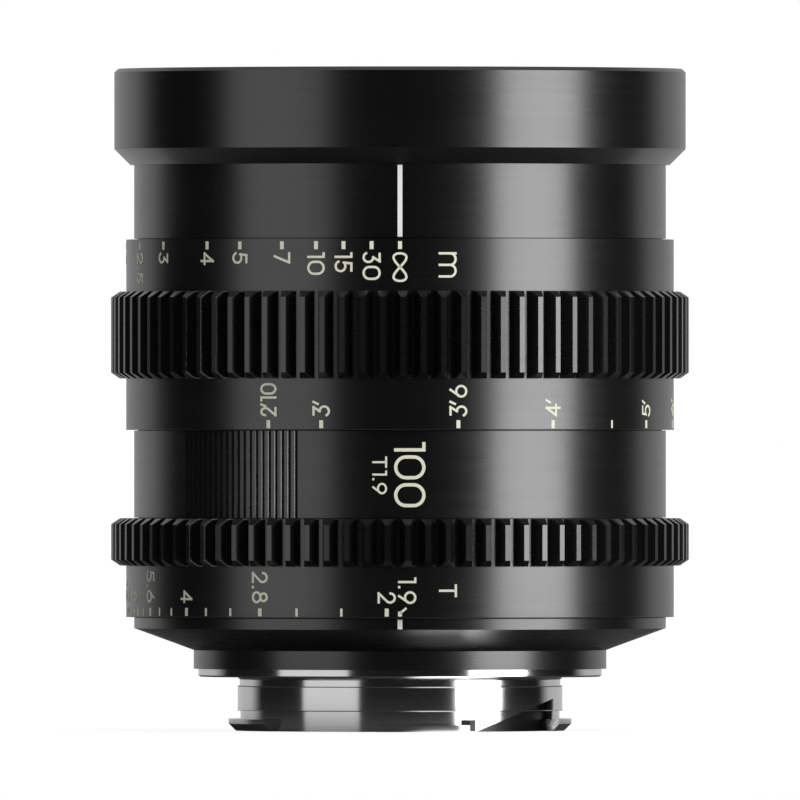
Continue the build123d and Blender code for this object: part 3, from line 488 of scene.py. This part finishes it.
def glass_material(name, tint, ior, coating):
    """Coated glass: clear, with a coloured reflection and a trace of dust in its gloss."""
    tree, shader = new_finish(name)
    shader.inputs["Transmission Weight"].default_value = 1.0
    shader.inputs["IOR"].default_value = ior
    shader.inputs["Specular Tint"].default_value = (*coating, 1)
    handled = group_node(tree, bpy.data.node_groups["Handled surface"], 40.0, 1800.0)
    tree.links.new(
        blended(tree, handled.outputs["Blotch"], tint, (0.98, 0.99, 0.99)), shader.inputs["Base Color"])
    tree.links.new(ramp(tree, handled.outputs["Speck"], 0.0, 0.03), shader.inputs["Roughness"])


def paint_material(name, colour):
    """Engraving paint: matte, a little uneven and slightly worn."""
    tree, shader = new_finish(name)
    handled = group_node(tree, bpy.data.node_groups["Handled surface"], 500.0, 5200.0)
    dull = tuple(0.86 * value for value in colour)
    tree.links.new(blended(tree, handled.outputs["Speck"], colour, dull), shader.inputs["Base Color"])
    tree.links.new(ramp(tree, handled.outputs["Blotch"], 0.45, 0.6), shader.inputs["Roughness"])


def dress(material, *names):
    """Give CAD nodes a finished material in the slot that they already have."""
    for name in names:
        node = frame["nodes"][name]
        for slot in node.material_slots:
            slot.material = material


def material_called(name):
    """A material that an earlier step made."""
    material = bpy.data.materials.get(name)
    if material is None:
        raise RuntimeError(f"{name} isn't made yet: run the finishes first")
    return material


class LENS_OT_finishes(bpy.types.Operator):
    """Make the shared node groups and every finish of the lens"""

    bl_idname = "lens.finishes"
    bl_label = "Make Finishes"

    def execute(self, context):
        finish = context.scene.lens_finish
        marks = context.scene.lens_markings
        turned_lines_group()
        handled_group()
        black = tuple(finish.anodised)
        surface_material(
            "Satin anodised", black, tuple(1.5 * value for value in black),
            roughness=finish.anodised_roughness, spread=0.03, bump=0.035, ior=1.8)
        surface_material(
            "Inner matte black", (0.012, 0.012, 0.012), (0.02, 0.02, 0.02), roughness=0.55,
            spread=0.08, bump=0.5, lines=4200.0, ior=1.45)
        surface_material(
            "Polished chrome", tuple(finish.chrome), (0.62, 0.62, 0.63),
            roughness=finish.chrome_roughness, spread=0.02, bump=0.02, lines=12000.0, metallic=1.0)
        surface_material(
            "Turned brass", tuple(finish.brass), (0.62, 0.44, 0.20), roughness=0.26, spread=0.06,
            bump=0.2, metallic=1.0)
        surface_material(
            "Plain steel", (0.46, 0.46, 0.47), (0.38, 0.38, 0.39), roughness=0.3, spread=0.06,
            bump=0.2, metallic=1.0)
        surface_material(
            "Blackened blade steel", (0.035, 0.035, 0.038), (0.055, 0.055, 0.058), roughness=0.34,
            spread=0.06, bump=0.1, metallic=1.0)
        surface_material(
            "Black bearing plastic", (0.006, 0.006, 0.006), (0.010, 0.010, 0.010), roughness=0.5,
            spread=0.05, bump=0.05)
        glass_material("Front element glass", (0.97, 0.98, 1.0), 1.62, (0.20, 0.13, 0.40))
        glass_material("Inner element glass", (0.975, 0.99, 0.98), 1.58, (0.10, 0.19, 0.15))
        paint_material("Cream engraving", tuple(marks.cream))
        paint_material("White engraving", tuple(marks.white))
        return {"FINISHED"}


class LENS_OT_barrels(bpy.types.Operator):
    """Finish the outer barrels and the two toothed rings in satin anodising"""

    bl_idname = "lens.barrels"
    bl_label = "Finish Barrels"

    def execute(self, context):
        dress(
            material_called("Satin anodised"), "front_ring", "front_barrel", "focus_ring",
            "centre_barrel", "aperture_ring", "rear_barrel", "mount_adapter_ring")
        return {"FINISHED"}


class LENS_OT_mount(bpy.types.Operator):
    """Finish the bayonet in chrome and its screws in steel, and add the lock's dark stop face"""

    bl_idname = "lens.mount"
    bl_label = "Finish Bayonet"

    def execute(self, context):
        chrome = material_called("Polished chrome")
        darken_recess(chrome, RECESS_INNER, RECESS_OUTER, grey=0.06, roughness=0.35)
        dress(chrome, "bayonet_mount")
        dress(material_called("Plain steel"), "mount_screws")
        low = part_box("bayonet_mount")[0].z
        face = line(
            STOP_FACE_RADIUS, STOP_FACE_WIDTH, STOP_FACE_ANGLE, low + STOP_FACE_LOW,
            low + STOP_FACE_HIGH)
        add_piece(
            "stop_face", *face, material_called("Blackened blade steel"), "lens_body", "blade_steel")
        return {"FINISHED"}


def darken_recess(material, low, high, grey, roughness):
    """Blacken the milled recess: where the distance from the axis lies between low and high."""
    tree = material.node_tree
    shader = tree.nodes["Principled BSDF"]
    place = placed(tree, "ShaderNodeTexCoord")
    flat = placed(tree, "ShaderNodeVectorMath", [(0, place.outputs["Object"])], operation="MULTIPLY")
    flat.inputs[1].default_value = (1, 1, 0)
    reach = placed(tree, "ShaderNodeVectorMath", [(0, flat.outputs[0])], operation="LENGTH")
    distance = reach.outputs["Value"]
    mask = maths(
        tree, "MULTIPLY", maths(tree, "GREATER_THAN", distance, low),
        maths(tree, "LESS_THAN", distance, high))
    for socket, kind, value in (
        ("Base Color", "RGBA", (grey, grey, grey, 1)), ("Roughness", "FLOAT", roughness),
    ):
        plain = shader.inputs[socket].links[0].from_socket
        mix = placed(tree, "ShaderNodeMix", [("Factor", mask), ("A", plain)], data_type=kind, B=value)
        tree.links.new(mix.outputs["Result"], shader.inputs[socket])


class LENS_OT_inner_parts(bpy.types.Operator):
    """Finish the cells, the drive parts and the iris"""

    bl_idname = "lens.inner_parts"
    bl_label = "Finish Inner Parts"

    def execute(self, context):
        finishes = {
            "inner_black": "Inner matte black", "bearing_brass": "Turned brass",
            "steel": "Plain steel", "blade_steel": "Blackened blade steel",
            "bearing_polymer": "Black bearing plastic",
        }
        for part in frame["record"]["subparts"]:
            finish = finishes.get(part["material_slot"])
            if finish:
                dress(material_called(finish), part["node"])
        return {"FINISHED"}


class LENS_OT_glass(bpy.types.Operator):
    """Finish the glass elements with their coatings"""

    bl_idname = "lens.glass"
    bl_label = "Finish Glass"

    def execute(self, context):
        dress(material_called("Front element glass"), "lens_1_front", "lens_7_rear")
        dress(
            material_called("Inner element glass"), "lens_2", "lens_3", "lens_4", "lens_5", "lens_6")
        return {"FINISHED"}


class LENS_OT_metre_scale(bpy.types.Operator):
    """Engrave the distances in metres along the focus ring's upper edge"""

    bl_idname = "lens.metre_scale"
    bl_label = "Metre Scale"

    def execute(self, context):
        marks = context.scene.lens_markings
        radius = scale_radius()
        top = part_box("focus_ring")[1].z
        tick_low = top - METRE_TICKS
        text_level = top - METRE_TEXT
        size = (marks.figure, marks.stroke, radius)
        solids = [line(radius, marks.tick, 0, tick_low, tick_low + TICK_LENGTH)]
        solids += figures("∞", *size, 0, text_level, -1)
        solids += figures("m", *size, UNIT_ANGLE, text_level, -1)
        for distance in METRE_MARKS:
            angle = -focus_angle(distance)
            solids.append(line(radius, marks.tick, angle, tick_low, tick_low + TICK_LENGTH))
            solids += figures(number(distance), *size, angle, text_level, -1, room=METRE_ROOM)
        add_piece(
            "metre_scale", *joined(solids), material_called("Cream engraving"), "focus_ring",
            "engraving_paint")
        return {"FINISHED"}


class LENS_OT_foot_scale(bpy.types.Operator):
    """Engrave the distances in feet along the focus ring's lower edge"""

    bl_idname = "lens.foot_scale"
    bl_label = "Foot Scale"

    def execute(self, context):
        marks = context.scene.lens_markings
        radius = scale_radius()
        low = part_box("focus_ring")[0].z
        tick_low = low + FOOT_TICKS
        text_level = low + FOOT_TEXT
        size = (marks.figure, marks.stroke, radius)
        solids = [line(radius, marks.tick, FEET_INDEX_ANGLE, tick_low, tick_low + TICK_LENGTH)]
        solids += figures("∞", *size, FEET_INDEX_ANGLE, text_level, 1)
        solids += figures("ft", *size, FEET_INDEX_ANGLE + UNIT_ANGLE, text_level, 1)
        for feet, label in FOOT_MARKS:
            angle = FEET_INDEX_ANGLE - focus_angle(feet * FOOT)
            width = marks.tick if label else marks.minor_tick
            solids.append(line(radius, width, angle, tick_low, tick_low + TICK_LENGTH))
            if label:
                solids += figures(label, *size, angle, text_level, 1, room=FOOT_ROOM)
        add_piece(
            "foot_scale", *joined(solids), material_called("Cream engraving"), "focus_ring",
            "engraving_paint")
        return {"FINISHED"}


class LENS_OT_stop_scale(bpy.types.Operator):
    """Engrave the T-stops along the aperture ring's lower edge"""

    bl_idname = "lens.stop_scale"
    bl_label = "Stop Scale"

    def execute(self, context):
        marks = context.scene.lens_markings
        radius = scale_radius()
        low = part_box("aperture_ring")[0].z
        tick_low = low + STOP_TICKS
        text_level = low + STOP_TEXT
        size = (marks.figure, marks.stroke, radius)
        solids = [line(radius, marks.tick, 0, tick_low, tick_low + 0.62 * MM)]
        solids.append(
            line(radius, marks.stroke, 0.1, tick_low + 0.3 * MM, tick_low + 1.12 * MM, slant=1.05))
        solids += figures(
            "1.9", *size, FULL_STOP_ANGLE, text_level - FULL_STOP_DROP, -1, ends=True)
        solids += figures(
            "T", *size, STOP_UNIT_ANGLE, text_level + STOP_UNIT_RISE, -1, ends=True)
        for stop, label in STOP_MARKS:
            angle = -stop_angle(stop) - (SECOND_STOP_SHIFT if stop == 2 else 0.0)
            solids.append(line(radius, marks.tick, angle, tick_low, tick_low + TICK_LENGTH))
            solids += figures(label, *size, angle, text_level, -1, ends=True)
        for stop in STOP_MINORS:
            angle = -stop_angle(stop)
            solids.append(line(radius, marks.minor_tick, angle, tick_low, tick_low + TICK_LENGTH))
        add_piece(
            "stop_scale", *joined(solids), material_called("Cream engraving"), "aperture_ring",
            "engraving_paint")
        return {"FINISHED"}


class LENS_OT_barrel_figures(bpy.types.Operator):
    """Engrave the focal length and the full aperture on the centre barrel"""

    bl_idname = "lens.barrel_figures"
    bl_label = "Barrel Figures"

    def execute(self, context):
        marks = context.scene.lens_markings
        radius = barrel_radius()
        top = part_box("centre_barrel")[1].z
        solids = figures(
            "100", marks.focal_figure, FOCAL_STROKE, radius, FOCAL_ANGLE, top - FOCAL_DROP, -1,
            gap=FOCAL_GAP)
        solids += figures(
            "T1.9", marks.stop_figure, SPEED_STROKE, radius, SPEED_ANGLE, top - SPEED_DROP, -1,
            stretch=SPEED_STRETCH)
        add_piece(
            "barrel_figures", *joined(solids), material_called("Cream engraving"), "lens_body",
            "engraving_paint")
        return {"FINISHED"}


class LENS_OT_index_lines(bpy.types.Operator):
    """Paint the white index lines for the three scales"""

    bl_idname = "lens.index_lines"
    bl_label = "Index Lines"

    def execute(self, context):
        radius = barrel_radius()
        front_low, front_high = (corner.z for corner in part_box("front_barrel"))
        rear_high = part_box("rear_barrel")[1].z
        centre_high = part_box("centre_barrel")[1].z
        spans = (
            (0, front_low + 0.1 * MM, front_high - 0.2 * MM),
            (0, rear_high - 1.28 * MM, rear_high - 0.08 * MM),
            (FEET_INDEX_ANGLE, centre_high - 4.0 * MM, centre_high - 0.4 * MM),
        )
        solids = [line(radius, INDEX_WIDTH, angle, low, high) for angle, low, high in spans]
        add_piece(
            "index_lines", *joined(solids), material_called("White engraving"), "lens_body",
            "index_paint")
        return {"FINISHED"}


class LENS_OT_fine_edges(bpy.types.Operator):
    """Round the fine edges that catch the light: the neck's steps and the rings' lower rims"""

    bl_idname = "lens.fine_edges"
    bl_label = "Fine Edges"

    def execute(self, context):
        bead = context.scene.lens_finish.edge_bead
        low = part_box("bayonet_mount")[0].z
        beads = [bead_ring(NECK_RADIUS - bead / 2, low + step, bead) for step in NECK_STEPS]
        add_piece(
            "neck_edges", *joined(beads), material_called("Polished chrome"), "lens_body",
            "chrome_plate", sharp=80.0)
        for name, ring in (("focus_rim", "focus_ring"), ("aperture_rim", "aperture_ring")):
            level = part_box(ring)[0].z + bead * 0.6
            add_piece(
                name, *bead_ring(scale_radius() - bead / 2, level, bead),
                material_called("Satin anodised"), ring, "black_anodised", sharp=80.0)
        return {"FINISHED"}


def closed_grid_faces(rows, columns):
    """The faces of a grid that closes on itself both ways: each joins a row to the row ahead."""
    row, column = np.meshgrid(np.arange(rows), np.arange(columns), indexing="ij")
    ahead, beside = (row + 1) % rows, (column + 1) % columns
    corners = [
        row * columns + column, ahead * columns + column, ahead * columns + beside,
        row * columns + beside,
    ]
    return np.stack(corners, axis=2).reshape(-1, 4)


def bead_ring(radius, level, bead):
    """A thin round bead: the radius and level plus the bead's radius times cosine and sine."""
    around = np.linspace(0, 2 * np.pi, 144, endpoint=False)
    across = np.linspace(0, 2 * np.pi, 10, endpoint=False)
    turn, tilt = np.meshgrid(around, across, indexing="ij")
    reach = radius + bead * np.cos(tilt)
    points = np.stack(
        [reach * np.cos(turn), reach * np.sin(turn), level + bead * np.sin(tilt)], axis=2)
    return points.reshape(-1, 3), closed_grid_faces(*turn.shape)


class LENS_OT_filter_thread(bpy.types.Operator):
    """Cut the fine filter thread inside the front ring"""

    bl_idname = "lens.filter_thread"
    bl_label = "Filter Thread"

    def execute(self, context):
        finish = context.scene.lens_finish
        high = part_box("front_ring")[1].z - FILTER_INSET
        thread = thread_surface(
            FILTER_RADIUS, high - FILTER_LENGTH, high, finish.thread_pitch, finish.thread_depth)
        add_piece(
            "filter_thread", *thread, material_called("Satin anodised"), "lens_body",
            "black_anodised", sharp=50.0)
        return {"FINISHED"}


def thread_surface(wall, low, high, pitch, depth):
    """An inner thread: the radius falls from the wall by a triangle wave of height less turn share.

    The wave fades out at both ends, and a plain back lies just behind the wall, so that it closes.
    The faces are turned round, so that they look at the axis.
    """
    around = np.linspace(0, 2 * np.pi, 120, endpoint=False)
    levels = np.linspace(low, high, 56)
    turn, level = np.meshgrid(around, levels, indexing="ij")
    phase = (level / pitch - turn / (2 * np.pi)) % 1
    wave = 1 - np.abs(2 * phase - 1)
    fade = np.clip(np.minimum(level - low, high - level) / (pitch / 2), 0, 1)
    radius = wall - depth * wave * fade - depth / 20
    back = np.full((len(around), 2), wall + depth / 20)
    radius = np.concatenate([radius, back], axis=1)
    level = np.concatenate([level, np.full_like(back, high)], axis=1)
    level[:, -1] = low
    turn = np.broadcast_to(around[:, None], radius.shape)
    points = np.stack([radius * np.cos(turn), radius * np.sin(turn), level], axis=2)
    faces = np.roll(closed_grid_faces(*radius.shape)[:, ::-1], 1, axis=1)
    return points.reshape(-1, 3), faces


def scale_radius():
    """The radius of the scale bands: a step out from the plain barrels."""
    return barrel_radius() + BAND_STEP


def barrel_radius():
    """The radius of the plain barrels."""
    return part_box("front_barrel")[1].x


class LENS_OT_studio(bpy.types.Operator):
    """Set up the floor, the surrounding light, the two softboxes and the camera"""

    bl_idname = "lens.studio"
    bl_label = "Studio"

    def execute(self, context):
        studio = context.scene.lens_studio
        make_floor()
        make_world(studio.ambient)
        softbox("Key softbox", KEY_ANGLE, studio.lamp_distance, KEY_WIDTH, studio.key_power)
        softbox("Fill softbox", FILL_ANGLE, studio.lamp_distance, FILL_WIDTH, studio.fill_power)
        make_camera(studio)
        context.scene.view_settings.view_transform = "Standard"
        return {"FINISHED"}


def background_rays(tree):
    """The Light Path node, and one where a ray comes from the camera or through glass."""
    path = placed(tree, "ShaderNodeLightPath")
    seen = maths(tree, "MAXIMUM", path.outputs["Is Camera Ray"], path.outputs["Is Transmission Ray"])
    return path, seen


def make_floor():
    """A round table just under the foot: its edge is the radius times cosine and sine.

    It is white to the camera, so that it meets the background, and clear from below. Mirrors see
    a painted pool of light on it, a glow that is no lamp, whose level falls with the distance from the
    pool's centre.
    """
    angle = np.linspace(0, 2 * np.pi, 96, endpoint=False)
    points = np.column_stack([
        TABLE_RADIUS * np.cos(angle), TABLE_RADIUS * np.sin(angle), np.full_like(angle, -TABLE_DROP)])
    mesh = bpy.data.meshes.new("studio_floor")
    mesh.from_pydata(points.tolist(), [], [list(range(len(points)))])
    floor = bpy.data.objects.new("studio_floor", mesh)
    bpy.context.scene.collection.objects.link(floor)
    material = bpy.data.materials.new("Studio floor")
    material.use_nodes = True
    tree = material.node_tree
    tree.nodes.clear()
    path, seen = background_rays(tree)
    place = placed(tree, "ShaderNodeTexCoord")
    away = placed(tree, "ShaderNodeVectorMath", [(0, place.outputs["Object"])], operation="DISTANCE")
    away.inputs[1].default_value = POOL_CENTRE
    # Painted pool of light: a glow on the table that only mirror rays see, standing in for light bounced
    # up from the table
    pool = ramp(tree, away.outputs["Value"], POOL_LEVEL, 0.0, POOL_CORE, POOL_EDGE, smooth=True)
    strength = maths(
        tree, "ADD", maths(tree, "MULTIPLY", seen, TABLE_GLOW),
        maths(tree, "MULTIPLY", pool, path.outputs["Is Glossy Ray"]))
    glow = placed(tree, "ShaderNodeEmission", [("Strength", strength)])
    matte = placed(tree, "ShaderNodeBsdfDiffuse", Color=(TABLE_GREY, TABLE_GREY, TABLE_GREY, 1))
    both = placed(tree, "ShaderNodeAddShader", [(0, matte.outputs[0]), (1, glow.outputs[0])])
    clear = placed(tree, "ShaderNodeBsdfTransparent")
    side = placed(tree, "ShaderNodeNewGeometry")
    sheet = placed(tree, "ShaderNodeMixShader", [
        (0, side.outputs["Backfacing"]), (1, both.outputs[0]), (2, clear.outputs[0])])
    out = placed(tree, "ShaderNodeOutputMaterial")
    tree.links.new(sheet.outputs[0], out.inputs["Surface"])
    mesh.materials.append(material)


def make_world(ambient):
    """White to the camera and through glass; mirrors see white behind the lens and grey above.

    Matte surfaces get an even light that falls off to both sides, and most to the left.
    """
    world = bpy.data.worlds.new("Studio world")
    bpy.context.scene.world = world
    world.use_nodes = True
    world.cycles.sampling_method = "NONE"
    tree = world.node_tree
    tree.nodes.clear()
    path, seen = background_rays(tree)
    place = placed(tree, "ShaderNodeTexCoord")
    way = placed(tree, "ShaderNodeSeparateXYZ", [(0, place.outputs["Generated"])])
    behind = ramp(tree, way.outputs[1], 0.0, MIRRORED_WHITE, BEHIND_FROM, BEHIND_TO, smooth=True)
    above = ramp(
        tree, way.outputs[2], MIRRORED_DARK, MIRRORED_WHITE, ABOVE_FROM, ABOVE_TO, smooth=True)
    glossy = maths(
        tree, "MULTIPLY", maths(tree, "MAXIMUM", behind, above), path.outputs["Is Glossy Ray"])
    from_left = ramp(tree, way.outputs[0], 0.0, ambient, LEFT_DARK, LEFT_LIT)
    from_right = ramp(tree, way.outputs[0], 1.0, RIGHT_SHARE, RIGHT_LIT, 1.0)
    even = maths(tree, "MULTIPLY", from_left, from_right)
    diffuse = maths(tree, "MULTIPLY", path.outputs["Is Diffuse Ray"], even)
    strength = maths(tree, "MAXIMUM", maths(tree, "MAXIMUM", seen, glossy), diffuse)
    sky = placed(tree, "ShaderNodeBackground", [("Strength", strength)], Color=(1, 1, 1, 1))
    out = placed(tree, "ShaderNodeOutputWorld")
    tree.links.new(sky.outputs[0], out.inputs["Surface"])


def softbox(name, angle, distance, width, power):
    """A wide soft lamp, level with the lens and turned to it, at an angle from the camera's side."""
    lamp = bpy.data.lights.new(name, "AREA")
    lamp.shape = "RECTANGLE"
    lamp.size = width
    lamp.size_y = LAMP_TALL
    lamp.energy = power
    holder = bpy.data.objects.new(name, lamp)
    turn = np.radians(angle)
    holder.location = (distance * np.sin(turn), -distance * np.cos(turn), LAMP_LEVEL)
    holder.rotation_euler = (np.radians(90), 0, turn)
    holder.visible_camera = False
    bpy.context.scene.collection.objects.link(holder)


def make_camera(studio):
    """A long lens square to the side of the object, as wide at the axis as the picture."""
    camera = bpy.data.cameras.new("Camera")
    camera.lens = camera.sensor_width * studio.camera_distance / studio.picture_width
    holder = bpy.data.objects.new("Camera", camera)
    holder.location = (0, -studio.camera_distance, studio.camera_height)
    holder.rotation_euler = (np.radians(90), 0, 0)
    bpy.context.scene.collection.objects.link(holder)
    bpy.context.scene.camera = holder


STEPS = (
    "finishes", "barrels", "mount", "inner_parts", "glass", "metre_scale", "foot_scale",
    "stop_scale", "barrel_figures", "index_lines", "fine_edges", "filter_thread", "studio",
)


class LENS_PT_panel(bpy.types.Panel):
    """The steps that dress the lens, in order"""

    bl_idname = "LENS_PT_panel"
    bl_label = "Cinema Prime Lens"
    bl_space_type = "VIEW_3D"
    bl_region_type = "UI"
    bl_category = "Lens"

    def draw(self, context):
        for step in STEPS:
            self.layout.operator(f"lens.{step}")
        for group in (context.scene.lens_markings, context.scene.lens_finish, context.scene.lens_studio):
            box = self.layout.box()
            for name in group.__annotations__:
                box.prop(group, name)


CLASSES = (
    LensMarkings, LensFinish, LensStudio, LENS_OT_finishes, LENS_OT_barrels, LENS_OT_mount,
    LENS_OT_inner_parts, LENS_OT_glass, LENS_OT_metre_scale, LENS_OT_foot_scale,
    LENS_OT_stop_scale, LENS_OT_barrel_figures, LENS_OT_index_lines, LENS_OT_fine_edges,
    LENS_OT_filter_thread, LENS_OT_studio, LENS_PT_panel,
)


def register():
    """Register the classes and hang the settings on the scene."""
    for item in CLASSES:
        bpy.utils.register_class(item)
    bpy.types.Scene.lens_markings = PointerProperty(type=LensMarkings)
    bpy.types.Scene.lens_finish = PointerProperty(type=LensFinish)
    bpy.types.Scene.lens_studio = PointerProperty(type=LensStudio)


def unregister():
    """Take the settings and the classes away again."""
    del bpy.types.Scene.lens_markings
    del bpy.types.Scene.lens_finish
    del bpy.types.Scene.lens_studio
    for item in reversed(CLASSES):
        bpy.utils.unregister_class(item)


def main():
    """Run every step in order."""
    register()
    for step in STEPS:
        getattr(bpy.ops.lens, step)()


if __name__ == "__main__":
    main()
